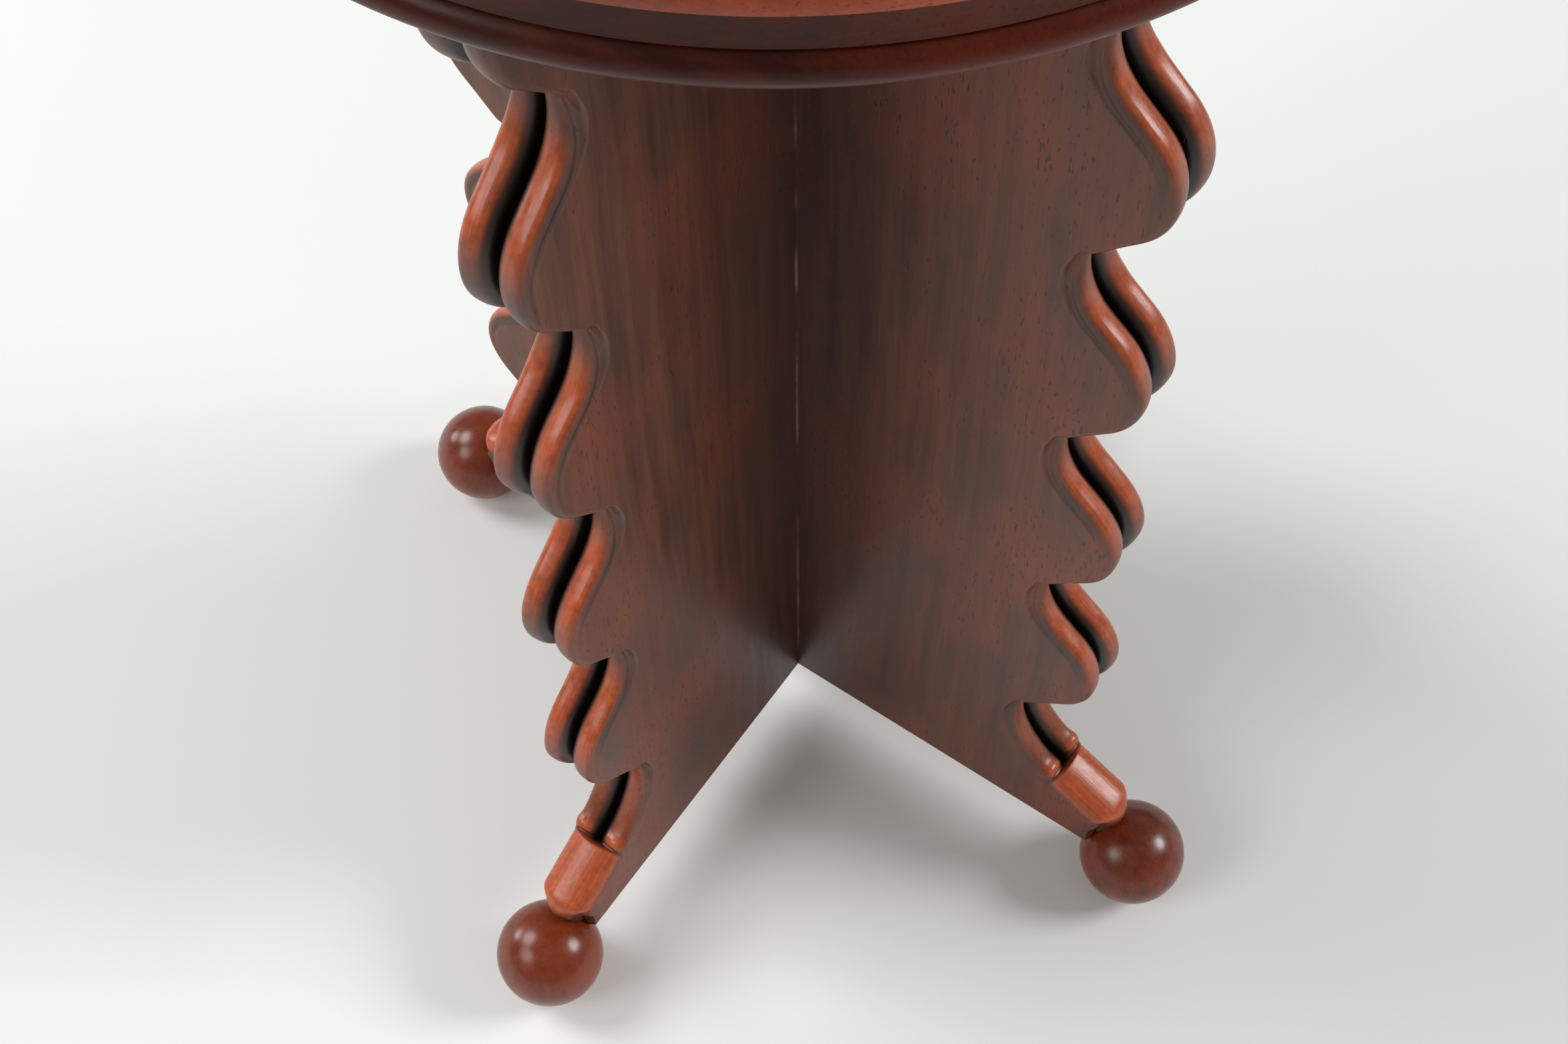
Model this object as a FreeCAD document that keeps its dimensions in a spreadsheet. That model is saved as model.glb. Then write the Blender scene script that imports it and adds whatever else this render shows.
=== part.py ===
# Pedestal side table: four carved wings round a square post, ball feet and a round moulded top.
# Frame: +Z up, origin on the floor under the middle of the table. Millimetres.
# The right wing lies along +X, the rear wing along +Y, the left wing along -X, the front wing along -Y.
import FreeCAD
import Part
import Sketcher
import math
import os

doc = FreeCAD.newDocument("PedestalSideTable")

# Driving dimensions
SIZES = [
    ("underside_height", 524.0, "underside of the top above the floor"),
    ("board_thickness", 21.0, "thickness of the wing boards, and width of the square post"),
    ("wing_bottom_height", 29.0, "straight lower edge of the wings above the floor"),
    ("panel_reach", 75.0, "flat middle of a wing, from the axis"),
    ("scroll_lap", 20.0, "how far the carved edge runs into the flat middle"),
    ("scroll_pitch", 85.2, "height of one scroll"),
    ("scroll_reach", 131.4, "crest of the lowest scroll from the axis"),
    ("scroll_flare", 3.1, "each scroll stands this much further in than the one below"),
    ("scroll_depth", 25.5, "crest of a scroll over its neck"),
    ("lobe_height", 116.1, "foot of the lowest lobe's circle above the floor"),
    ("lobe_radius", 27.0, "round lower end of a scroll"),
    ("neck_length", 11.9, "straight neck under the lobe above"),
    ("neck_radius", 26.5, "hollow curve between the neck and the swelling"),
    ("roll_radius", 5.4, "half-round of each of the two rolls"),
    ("roll_spacing", 11.0, "between the centres of the two rolls"),
    ("curl_run", 15.5, "how far a roll runs in under its lobe"),
    ("curl_slope", 43.0, "slope of the lobe's underside in degrees"),
    ("foot_neck_reach", 106.0, "crest of the foot below the lowest lobe, from the axis"),
    ("foot_curve_radius", 40.0, "hollow curve of the instep"),
    ("foot_curve_height", 97.5, "start of the instep above the floor"),
    ("foot_turn", 62.0, "turn of the instep in degrees"),
    ("pad_length", 27.0, "smooth pad on the toe, along the toe"),
    ("pad_width", 22.0, "smooth pad across the board"),
    ("pad_depth", 12.0, "how deep the pad is let into the toe"),
    ("pad_rise", 0.8, "pad over the rolls"),
    ("pad_lap", 5.0, "pad over the end of the rolls"),
    ("pad_rounding", 5.0, "rounding of the pad's edges"),
    ("toe_neck_height", 36.0, "top of the thin neck between pad and ball, above the floor"),
    ("toe_neck_inset", 7.5, "end of that neck inside the centre of the ball"),
    ("foot_circle_radius", 160.0, "centres of the ball feet from the axis"),
    ("ball_diameter", 40.0, "turned ball foot"),
    ("ball_flat_diameter", 10.0, "flat under each ball"),
    ("foot_dowel_diameter", 6.0, "dowel between ball and toe"),
    ("foot_dowel_angle", 50.0, "slope of that dowel in degrees"),
    ("foot_dowel_in_ball", 14.0, "depth of the dowel in the ball"),
    ("foot_dowel_in_toe", 14.0, "depth of the dowel in the toe"),
    ("tongue_thickness", 6.0, "loose tongue between wing and post"),
    ("tongue_width", 14.0, "loose tongue across the joint"),
    ("tongue_margin", 40.0, "tongue stops this far from both ends of the joint"),
    ("tenon_diameter", 16.0, "round tenon on the post"),
    ("bearer_radius", 150.5, "bearer disc with its rounded edge"),
    ("bearer_thickness", 10.0, "bearer disc under the top panel"),
    ("panel_radius", 148.2, "top panel"),
    ("panel_thickness", 18.0, "top panel"),
    ("panel_edge_radius", 9.4, "rounding of the top panel's upper edge"),
    ("top_dowel_diameter", 8.0, "dowels between bearer and panel"),
    ("top_dowel_circle_radius", 110.0, "places of those dowels from the axis"),
    ("top_dowel_in_bearer", 6.0, "depth of those dowels in the bearer"),
    ("top_dowel_in_panel", 10.0, "depth of those dowels in the panel"),
    ("screw_diameter", 4.0, "countersunk wood screws through the bearer"),
    ("screw_head_diameter", 8.0, "head of those screws"),
    ("screw_head_height", 2.4, "height of that head"),
    ("screw_point_length", 5.0, "point of those screws"),
    ("screw_tip_diameter", 1.0, "blunt end of that point"),
    ("screw_length", 40.0, "overall length of those screws"),
    ("screw_inner_radius", 36.0, "inner screw of each wing from the axis"),
    ("screw_outer_radius", 64.0, "outer screw of each wing from the axis"),
    ("fit_clearance", 0.1, "glue room round dowels, tongues, tenon and screws"),
    ("seat_clearance", 0.1, "glue room between a ball and its hollow in the toe"),
]
SCROLL_COUNT = 5
WING_TURNS = {"right": 0.0, "rear": 90.0, "left": 180.0, "front": 270.0}
TOP_DOWEL_TURNS = (45.0, 135.0, 225.0, 315.0)

sheet = doc.addObject("Spreadsheet::Sheet", "Sizes")
for row, (alias, value, meaning) in enumerate(SIZES, start=1):
    sheet.set("A%d" % row, meaning)
    sheet.set("B%d" % row, str(value))
    sheet.setAlias("B%d" % row, alias)
doc.recompute()

X_AXIS = FreeCAD.Vector(1, 0, 0)
Y_AXIS = FreeCAD.Vector(0, 1, 0)
Z_AXIS = FreeCAD.Vector(0, 0, 1)


# Helpers for the document
def number(expression):
    """Present value of an expression on the sheet's cells."""
    return float(sheet.evalExpression(expression))


def add(kind, name, **bindings):
    """Adds an object whose properties are bound to the sheet by expressions."""
    obj = doc.addObject(kind, name)
    for prop, expression in bindings.items():
        obj.setExpression(prop, expression)
    return obj


def place(obj, x="0", y="0", z="0", axis=None, angle=None):
    """Binds an object's place, and its turn about a fixed axis, to the sheet."""
    if axis is not None:
        obj.Placement = FreeCAD.Placement(FreeCAD.Vector(), FreeCAD.Rotation(axis, number(angle)))
        obj.setExpression("Placement.Rotation.Angle", angle)
    for name, expression in (("x", x), ("y", y), ("z", z)):
        obj.setExpression("Placement.Base." + name, expression)
    return obj


def fuse(name, shapes):
    """Joins shapes into one object."""
    obj = doc.addObject("Part::MultiFuse", name)
    obj.Shapes = shapes
    obj.Refine = True
    return obj


def cut(name, base, tool):
    """Takes a tool away from a base."""
    obj = doc.addObject("Part::Cut", name)
    obj.Base = base
    obj.Tool = tool
    return obj


def turned_copy(name, source, turn):
    """Copy of a piece turned about the table's axis, in degrees."""
    obj = doc.addObject("Part::Compound", name)
    obj.Links = [source]
    obj.Placement = FreeCAD.Placement(FreeCAD.Vector(), FreeCAD.Rotation(Z_AXIS, turn))
    return obj


def upright_sketch(name):
    """Sketch in the middle plane of the right wing: across is X, up is Z."""
    sketch = doc.addObject("Sketcher::SketchObject", name)
    sketch.Placement = FreeCAD.Placement(FreeCAD.Vector(), FreeCAD.Rotation(X_AXIS, 90))
    return sketch


def limit(sketch, kind, *where):
    """Adds a dimension whose value is the expression that comes last."""
    expression = where[-1]
    index = sketch.addConstraint(Sketcher.Constraint(kind, *where[:-1], number(expression)))
    sketch.setExpression("Constraints[%d]" % index, expression)


def relate(sketch, kind, *where):
    """Adds a relation with no value."""
    sketch.addConstraint(Sketcher.Constraint(kind, *where))


def pin(sketch, edge, end, across, up):
    """Holds one end of an edge at a place measured from the origin."""
    limit(sketch, "DistanceX", -1, 1, edge, end, across)
    limit(sketch, "DistanceY", -1, 1, edge, end, up)


def add_line(sketch, start, finish):
    """Straight edge between two points."""
    return sketch.addGeometry(Part.LineSegment(FreeCAD.Vector(*start, 0), FreeCAD.Vector(*finish, 0)))


def add_arc(sketch, centre, radius, start_angle, end_angle):
    """Round edge, counter-clockwise, with its angles in radians."""
    circle = Part.Circle(FreeCAD.Vector(*centre, 0), Z_AXIS, radius)
    return sketch.addGeometry(Part.ArcOfCircle(circle, start_angle, end_angle))


def extrude(name, sketch):
    """Board of the wing's thickness with a sketch as its outline."""
    obj = add("Part::Extrusion", name, LengthFwd="Sizes.board_thickness")
    obj.Base = sketch
    obj.DirMode = "Custom"
    obj.Dir = Y_AXIS
    obj.Symmetric = True
    obj.Solid = True
    return obj


def roll_pair(name, path, edge_count, start_x, start_z):
    """Two round rolls side by side along a path that starts straight down."""
    ring = add("Part::Circle", name + "_section", Radius="Sizes.roll_radius")
    place(ring, start_x, "Sizes.roll_spacing / 2", start_z)
    roll = doc.addObject("Part::Sweep", name)
    roll.Sections = [ring]
    roll.Spine = (path, ["Edge%d" % index for index in range(1, edge_count + 1)])
    roll.Solid = True
    twin = doc.addObject("Part::Mirroring", name + "_twin")
    twin.Source = roll
    twin.Normal = Y_AXIS
    return [roll, twin]


# Derived places that several pieces share
POST_HALF = "Sizes.board_thickness / 2"
ROLL_LINE = "(Sizes.scroll_reach - Sizes.scroll_depth - Sizes.roll_radius)"
SCROLL_TOP = "(Sizes.lobe_height + Sizes.scroll_pitch)"
SCROLL_LOW = "(Sizes.lobe_height + Sizes.roll_radius)"
SCROLL_INNER = "(Sizes.panel_reach - Sizes.scroll_lap)"
LOBE_LINE = "(Sizes.lobe_radius - Sizes.roll_radius)"
CURL_DROP = "(Sizes.curl_run * tan(Sizes.curl_slope))"
CURL_START_X = "(Sizes.scroll_reach - Sizes.lobe_radius + %s * sin(Sizes.curl_slope))" % LOBE_LINE
CURL_START_Z = "(Sizes.lobe_height + Sizes.lobe_radius - %s * cos(Sizes.curl_slope))" % LOBE_LINE
CURL_END_X = "(%s - Sizes.curl_run)" % CURL_START_X
CURL_END_Z = "(%s - %s)" % (CURL_START_Z, CURL_DROP)
BALL_RADIUS = "(Sizes.ball_diameter / 2)"
BALL_HEIGHT = "sqrt(%s ^ 2 - (Sizes.ball_flat_diameter / 2) ^ 2)" % BALL_RADIUS
BEARER_TOP = "(Sizes.underside_height + Sizes.bearer_thickness)"


# Carved edge: the path of one scroll, from its neck to the curl under its lobe
def scroll_edges(sketch):
    """Neck line, hollow arc, flank line, lobe arc and curl line, each tangent to the next.

    The hollow arc and the lobe arc are joined by their crossing tangent."""
    neck_x = number(ROLL_LINE)
    top_z = number(SCROLL_TOP)
    hollow_radius = number("Sizes.neck_radius + Sizes.roll_radius")
    lobe_radius = number(LOBE_LINE)
    lobe_x = number("Sizes.scroll_reach - Sizes.lobe_radius")
    lobe_z = number("Sizes.lobe_height + Sizes.lobe_radius")
    neck_end = top_z - number("Sizes.neck_length")
    hollow_x = neck_x + hollow_radius
    reach_x = hollow_x - lobe_x
    reach_z = neck_end - lobe_z
    between = math.hypot(reach_x, reach_z)
    slope = math.atan2(reach_z, reach_x) - math.acos((hollow_radius + lobe_radius) / between)
    leave = (hollow_x - hollow_radius * math.cos(slope), neck_end - hollow_radius * math.sin(slope))
    meet = (lobe_x + lobe_radius * math.cos(slope), lobe_z + lobe_radius * math.sin(slope))
    neck = add_line(sketch, (neck_x, top_z), (neck_x, neck_end))
    hollow = add_arc(sketch, (hollow_x, neck_end), hollow_radius, math.pi, math.pi + slope)
    flank = add_line(sketch, leave, meet)
    turn_in = math.radians(number("Sizes.curl_slope")) - math.pi / 2
    lobe = add_arc(sketch, (lobe_x, lobe_z), lobe_radius, turn_in, slope)
    curl_start = (number(CURL_START_X), number(CURL_START_Z))
    curl = add_line(sketch, curl_start, (number(CURL_END_X), number(CURL_END_Z)))
    relate(sketch, "Vertical", neck)
    relate(sketch, "Tangent", neck, 2, hollow, 1)
    relate(sketch, "Tangent", hollow, 2, flank, 1)
    relate(sketch, "Tangent", flank, 2, lobe, 2)
    relate(sketch, "Tangent", lobe, 1, curl, 1)
    pin(sketch, neck, 1, ROLL_LINE, SCROLL_TOP)
    limit(sketch, "DistanceY", neck, 2, neck, 1, "Sizes.neck_length")
    limit(sketch, "Radius", hollow, "Sizes.neck_radius + Sizes.roll_radius")
    limit(sketch, "Radius", lobe, LOBE_LINE)
    pin(sketch, lobe, 3, "Sizes.scroll_reach - Sizes.lobe_radius", "Sizes.lobe_height + Sizes.lobe_radius")
    limit(sketch, "DistanceX", curl, 2, curl, 1, "Sizes.curl_run")
    limit(sketch, "DistanceY", curl, 2, curl, 1, CURL_DROP)
    return neck, curl


scroll_path = upright_sketch("scroll_path")
scroll_edges(scroll_path)

# The wood behind the rolls of one scroll
scroll_outline = upright_sketch("scroll_outline")
outline_neck, outline_curl = scroll_edges(scroll_outline)
inner_x = number(SCROLL_INNER)
low_z = number(CURL_END_Z)
low_edge = add_line(scroll_outline, (number(CURL_END_X), low_z), (inner_x, low_z))
inner_edge = add_line(scroll_outline, (inner_x, low_z), (inner_x, number(SCROLL_TOP)))
top_edge = add_line(scroll_outline, (inner_x, number(SCROLL_TOP)), (number(ROLL_LINE), number(SCROLL_TOP)))
relate(scroll_outline, "Coincident", outline_curl, 2, low_edge, 1)
relate(scroll_outline, "Coincident", low_edge, 2, inner_edge, 1)
relate(scroll_outline, "Coincident", inner_edge, 2, top_edge, 1)
relate(scroll_outline, "Coincident", top_edge, 2, outline_neck, 1)
relate(scroll_outline, "Horizontal", low_edge)
relate(scroll_outline, "Vertical", inner_edge)
relate(scroll_outline, "Horizontal", top_edge)
limit(scroll_outline, "DistanceX", -1, 1, low_edge, 2, SCROLL_INNER)
scroll_board = extrude("scroll_board", scroll_outline)


# Rounded ends of the rolls where they run out on the board's faces
def roll_end(name, side, x, z, axis, angle):
    """Half ball on the end of a roll, on one side of the middle plane."""
    cap = add("Part::Sphere", name, Radius="Sizes.roll_radius")
    cap.Angle1 = 0
    return place(cap, x, "%s * Sizes.roll_spacing / 2" % side, z, axis, angle)


scroll_pieces = [scroll_board] + roll_pair("scroll_roll", scroll_path, 5, ROLL_LINE, SCROLL_TOP)
for side, side_name in (("1", "near"), ("-1", "far")):
    curl_turn = "90 + Sizes.curl_slope"
    scroll_pieces.append(roll_end("curl_end_" + side_name, side, CURL_END_X, CURL_END_Z, -Y_AXIS, curl_turn))
    scroll_pieces.append(roll_end("neck_end_" + side_name, side, ROLL_LINE, SCROLL_TOP, Y_AXIS, "0"))
scroll = fuse("scroll", scroll_pieces)

scrolls = []
for step in range(SCROLL_COUNT):
    raised = doc.addObject("Part::Compound", "scroll_%d" % (step + 1))
    raised.Links = [scroll]
    scrolls.append(place(raised, "-%d * Sizes.scroll_flare" % step, "0", "%d * Sizes.scroll_pitch" % step))

# Foot: instep with two rolls, smooth pad on the toe, thin neck to the ball
FOOT_LINE = "(Sizes.foot_neck_reach - Sizes.roll_radius)"
INSTEP_X = "(Sizes.foot_neck_reach + Sizes.foot_curve_radius)"
INSTEP_RADIUS = "(Sizes.foot_curve_radius + Sizes.roll_radius)"
INSTEP_END_X = "%s - %s * cos(Sizes.foot_turn)" % (INSTEP_X, INSTEP_RADIUS)
INSTEP_END_Z = "Sizes.foot_curve_height - %s * sin(Sizes.foot_turn)" % INSTEP_RADIUS


def foot_edges(sketch):
    """Neck line of the foot and the hollow arc of its instep."""
    line_x = number(FOOT_LINE)
    start_z = number(SCROLL_LOW)
    curve_z = number("Sizes.foot_curve_height")
    turn = math.radians(number("Sizes.foot_turn"))
    neck = add_line(sketch, (line_x, start_z), (line_x, curve_z))
    instep = add_arc(sketch, (number(INSTEP_X), curve_z), number(INSTEP_RADIUS), math.pi, math.pi + turn)
    relate(sketch, "Vertical", neck)
    relate(sketch, "Tangent", neck, 2, instep, 1)
    pin(sketch, neck, 1, FOOT_LINE, SCROLL_LOW)
    limit(sketch, "DistanceY", -1, 1, neck, 2, "Sizes.foot_curve_height")
    limit(sketch, "Radius", instep, INSTEP_RADIUS)
    limit(sketch, "DistanceY", -1, 1, instep, 2, INSTEP_END_Z)
    return neck, instep


foot_path = upright_sketch("foot_path")
foot_edges(foot_path)

PAD_END_X = INSTEP_END_X + " + Sizes.pad_length * sin(Sizes.foot_turn)"
PAD_END_Z = INSTEP_END_Z + " - Sizes.pad_length * cos(Sizes.foot_turn)"
TOE_X = "Sizes.foot_circle_radius - Sizes.toe_neck_inset"
foot_outline = upright_sketch("foot_outline")
foot_neck, foot_instep = foot_edges(foot_outline)
corner_places = [
    (INSTEP_END_X, INSTEP_END_Z),
    (PAD_END_X, PAD_END_Z),
    (TOE_X, "Sizes.toe_neck_height"),
    (TOE_X, "Sizes.wing_bottom_height"),
    (SCROLL_INNER, "Sizes.wing_bottom_height"),
    (SCROLL_INNER, SCROLL_LOW),
    (FOOT_LINE, SCROLL_LOW),
]
corner_points = [(number(across), number(up)) for across, up in corner_places]
toe_edges = []
for start, finish in zip(corner_points[:-1], corner_points[1:]):
    toe_edges.append(add_line(foot_outline, start, finish))
relate(foot_outline, "Coincident", foot_instep, 2, toe_edges[0], 1)
for edge, following, (across, up) in zip(toe_edges[:-1], toe_edges[1:], corner_places[1:-1]):
    relate(foot_outline, "Coincident", edge, 2, following, 1)
    pin(foot_outline, edge, 2, across, up)
relate(foot_outline, "Coincident", toe_edges[-1], 2, foot_neck, 1)
foot_board = extrude("foot_board", foot_outline)

# Smooth pad: a block with rounded edges lying along the toe
PAD_BACK = "Sizes.pad_lap"
PAD_DROP = "(Sizes.pad_depth - Sizes.roll_radius)"
pad_block = add(
    "Part::Box",
    "pad_block",
    Length="Sizes.pad_length + Sizes.pad_lap",
    Width="Sizes.pad_width",
    Height="Sizes.pad_depth + Sizes.pad_rise",
)
place(
    pad_block,
    "%s - %s * sin(Sizes.foot_turn) - %s * cos(Sizes.foot_turn)" % (INSTEP_END_X, PAD_BACK, PAD_DROP),
    "-Sizes.pad_width / 2",
    "%s + %s * cos(Sizes.foot_turn) - %s * sin(Sizes.foot_turn)" % (INSTEP_END_Z, PAD_BACK, PAD_DROP),
    Y_AXIS,
    "90 - Sizes.foot_turn",
)
doc.recompute()
pad = doc.addObject("Part::Fillet", "pad")
pad.Base = pad_block
rounding = number("Sizes.pad_rounding")
pad.Edges = [(index, rounding, rounding) for index in range(1, len(pad_block.Shape.Edges) + 1)]

flat_middle = add(
    "Part::Box",
    "flat_middle",
    Length="Sizes.panel_reach - " + POST_HALF,
    Width="Sizes.board_thickness",
    Height="Sizes.underside_height - Sizes.wing_bottom_height",
)
place(flat_middle, POST_HALF, "-Sizes.board_thickness / 2", "Sizes.wing_bottom_height")
foot_rolls = roll_pair("foot_roll", foot_path, 2, FOOT_LINE, SCROLL_LOW)
wing_blank = fuse("wing_blank", [flat_middle, foot_board, pad] + foot_rolls + scrolls)

# Room in a wing for the tongue, the ball, its dowel and the screws, and the cut under the top
tongue_slot = add(
    "Part::Box",
    "tongue_slot",
    Length="Sizes.tongue_width + 2 * Sizes.fit_clearance",
    Width="Sizes.tongue_thickness + 2 * Sizes.fit_clearance",
    Height="Sizes.underside_height - Sizes.wing_bottom_height"
    " - 2 * Sizes.tongue_margin + 2 * Sizes.fit_clearance",
)
place(
    tongue_slot,
    POST_HALF + " - Sizes.tongue_width / 2 - Sizes.fit_clearance",
    "-Sizes.tongue_thickness / 2 - Sizes.fit_clearance",
    "Sizes.wing_bottom_height + Sizes.tongue_margin - Sizes.fit_clearance",
)
ball_hollow = add("Part::Sphere", "ball_hollow", Radius=BALL_RADIUS + " + Sizes.seat_clearance")
place(ball_hollow, "Sizes.foot_circle_radius", "0", BALL_HEIGHT)
DOWEL_START = "(%s - Sizes.foot_dowel_in_ball)" % BALL_RADIUS
DOWEL_LENGTH = "Sizes.foot_dowel_in_ball + Sizes.foot_dowel_in_toe"


def foot_dowel_bar(name, spare):
    """Sloping round bar from inside the ball up into the toe, with room to spare all round."""
    bar = add(
        "Part::Cylinder",
        name,
        Radius="Sizes.foot_dowel_diameter / 2 + " + spare,
        Height="%s + 2 * (%s)" % (DOWEL_LENGTH, spare),
    )
    start = "(%s - (%s))" % (DOWEL_START, spare)
    return place(
        bar,
        "Sizes.foot_circle_radius - %s * cos(Sizes.foot_dowel_angle)" % start,
        "0",
        "%s + %s * sin(Sizes.foot_dowel_angle)" % (BALL_HEIGHT, start),
        -Y_AXIS,
        "90 - Sizes.foot_dowel_angle",
    )


foot_dowel_hole = foot_dowel_bar("foot_dowel_hole", "Sizes.fit_clearance")
over_top = add(
    "Part::Box",
    "over_top",
    Length="Sizes.scroll_reach",
    Width="2 * Sizes.board_thickness",
    Height="Sizes.scroll_pitch",
)
place(over_top, POST_HALF, "-Sizes.board_thickness", "Sizes.underside_height")


# Screws: shank, countersunk head flush with the bearer, and point
def screw_solid(name, radius_expression, spare):
    """One screw hanging from the top of the bearer, made larger all round by the room to spare."""
    shank = add(
        "Part::Cylinder",
        name + "_shank",
        Radius="Sizes.screw_diameter / 2 + " + spare,
        Height="Sizes.screw_length - Sizes.screw_point_length",
    )
    place(shank, radius_expression, "0", BEARER_TOP + " - Sizes.screw_length + Sizes.screw_point_length")
    head = add(
        "Part::Cone",
        name + "_head",
        Radius1="Sizes.screw_diameter / 2 + " + spare,
        Radius2="Sizes.screw_head_diameter / 2 + " + spare,
        Height="Sizes.screw_head_height",
    )
    place(head, radius_expression, "0", BEARER_TOP + " - Sizes.screw_head_height")
    point = add(
        "Part::Cone",
        name + "_point",
        Radius1="Sizes.screw_tip_diameter / 2",
        Radius2="Sizes.screw_diameter / 2 + " + spare,
        Height="Sizes.screw_point_length + " + spare,
    )
    place(point, radius_expression, "0", "%s - Sizes.screw_length - %s" % (BEARER_TOP, spare))
    return fuse(name, [shank, head, point])


SCREW_PLACES = {"inner": "Sizes.screw_inner_radius", "outer": "Sizes.screw_outer_radius"}
screw_masters = []
screw_holes = []
for row_name, radius_expression in SCREW_PLACES.items():
    screw_masters.append(screw_solid("screw_" + row_name, radius_expression, "0"))
    screw_holes.append(screw_solid("screw_hole_" + row_name, radius_expression, "Sizes.fit_clearance"))

wing_room = fuse("wing_room", [tongue_slot, ball_hollow, foot_dowel_hole, over_top] + screw_holes)
wing = cut("wing", wing_blank, wing_room)

# Ball foot: turned ball with a flat to stand on and a hole for its dowel
ball = add("Part::Sphere", "ball", Radius=BALL_RADIUS)
place(ball, "Sizes.foot_circle_radius", "0", BALL_HEIGHT)
under_floor = add(
    "Part::Box",
    "under_floor",
    Length="Sizes.ball_diameter",
    Width="Sizes.ball_diameter",
    Height="Sizes.ball_diameter",
)
place(under_floor, "Sizes.foot_circle_radius - " + BALL_RADIUS, "-" + BALL_RADIUS, "-Sizes.ball_diameter")
ball_room = fuse("ball_room", [under_floor, foot_dowel_hole])
ball_foot = cut("ball_foot", ball, ball_room)
foot_dowel = foot_dowel_bar("foot_dowel", "0")

# Loose tongue: a straight slip of wood, half in the post and half in the wing
tongue = add(
    "Part::Box",
    "tongue",
    Length="Sizes.tongue_width",
    Width="Sizes.tongue_thickness",
    Height="Sizes.underside_height - Sizes.wing_bottom_height - 2 * Sizes.tongue_margin",
)
place(
    tongue,
    POST_HALF + " - Sizes.tongue_width / 2",
    "-Sizes.tongue_thickness / 2",
    "Sizes.wing_bottom_height + Sizes.tongue_margin",
)

# Square post with a groove in each face and a round tenon on top
post_bar = add(
    "Part::Box",
    "post_bar",
    Length="Sizes.board_thickness",
    Width="Sizes.board_thickness",
    Height="Sizes.underside_height - Sizes.wing_bottom_height",
)
place(post_bar, "-" + POST_HALF, "-" + POST_HALF, "Sizes.wing_bottom_height")
post_tenon = add(
    "Part::Cylinder", "post_tenon", Radius="Sizes.tenon_diameter / 2", Height="Sizes.bearer_thickness"
)
place(post_tenon, z="Sizes.underside_height")
post_blank = fuse("post_blank", [post_bar, post_tenon])
post_grooves = fuse(
    "post_grooves",
    [turned_copy("groove_" + name, tongue_slot, turn) for name, turn in WING_TURNS.items()],
)
centre_post = cut("centre_post", post_blank, post_grooves)


# Turned discs of the top
def turned_body(name, corners, arc_index, arc_centre):
    """Body turned about the table's axis from a half section with one round edge.

    corners are places (across, up) in order; the edge after corner arc_index is an arc
    whose centre is given as (across, up)."""
    body = doc.addObject("PartDesign::Body", name)
    sketch = body.newObject("Sketcher::SketchObject", name + "_section")
    plane = [feature for feature in body.Origin.OriginFeatures if feature.Role == "XZ_Plane"][0]
    sketch.AttachmentSupport = [(plane, "")]
    sketch.MapMode = "FlatFace"
    points = [(number(across), number(up)) for across, up in corners]
    edges = []
    for index, start in enumerate(points):
        finish = points[(index + 1) % len(points)]
        if index == arc_index:
            centre = (number(arc_centre[0]), number(arc_centre[1]))
            radius = math.hypot(start[0] - centre[0], start[1] - centre[1])
            first = math.atan2(start[1] - centre[1], start[0] - centre[0])
            last = math.atan2(finish[1] - centre[1], finish[0] - centre[0])
            edges.append(add_arc(sketch, centre, radius, first, last))
        else:
            edges.append(add_line(sketch, start, finish))
    for index, edge in enumerate(edges):
        following = edges[(index + 1) % len(edges)]
        relate(sketch, "Coincident", edge, 2, following, 1)
    for index, (across, up) in enumerate(corners):
        edge = edges[index]
        if across == "0":
            relate(sketch, "PointOnObject", edge, 1, -2)
        else:
            limit(sketch, "DistanceX", -1, 1, edge, 1, across)
        limit(sketch, "DistanceY", -1, 1, edge, 1, up)
    limit(sketch, "DistanceX", -1, 1, edges[arc_index], 3, arc_centre[0])
    turn = body.newObject("PartDesign::Revolution", name + "_turning")
    turn.Profile = sketch
    turn.ReferenceAxis = (sketch, ["V_Axis"])
    turn.Angle = 360
    return body


BEAD = "Sizes.bearer_thickness / 2"
bearer_blank = turned_body(
    "bearer_blank",
    [
        ("0", "Sizes.underside_height"),
        ("Sizes.bearer_radius - " + BEAD, "Sizes.underside_height"),
        ("Sizes.bearer_radius - " + BEAD, BEARER_TOP),
        ("0", BEARER_TOP),
    ],
    1,
    ("Sizes.bearer_radius - " + BEAD, "Sizes.underside_height + " + BEAD),
)
PANEL_TOP = "%s + Sizes.panel_thickness" % BEARER_TOP
panel_blank = turned_body(
    "panel_blank",
    [
        ("0", BEARER_TOP),
        ("Sizes.panel_radius", BEARER_TOP),
        ("Sizes.panel_radius", PANEL_TOP + " - Sizes.panel_edge_radius"),
        ("Sizes.panel_radius - Sizes.panel_edge_radius", PANEL_TOP),
        ("0", PANEL_TOP),
    ],
    2,
    ("Sizes.panel_radius - Sizes.panel_edge_radius", PANEL_TOP + " - Sizes.panel_edge_radius"),
)


# Dowels that hold the panel in its place on the bearer
def top_dowel_bar(name, spare):
    """Upright round bar across the face between bearer and panel, with room to spare."""
    bar = add(
        "Part::Cylinder",
        name,
        Radius="Sizes.top_dowel_diameter / 2 + " + spare,
        Height="Sizes.top_dowel_in_bearer + Sizes.top_dowel_in_panel + 2 * " + spare,
    )
    return place(
        bar,
        "Sizes.top_dowel_circle_radius",
        "0",
        "%s - Sizes.top_dowel_in_bearer - %s" % (BEARER_TOP, spare),
    )


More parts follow.
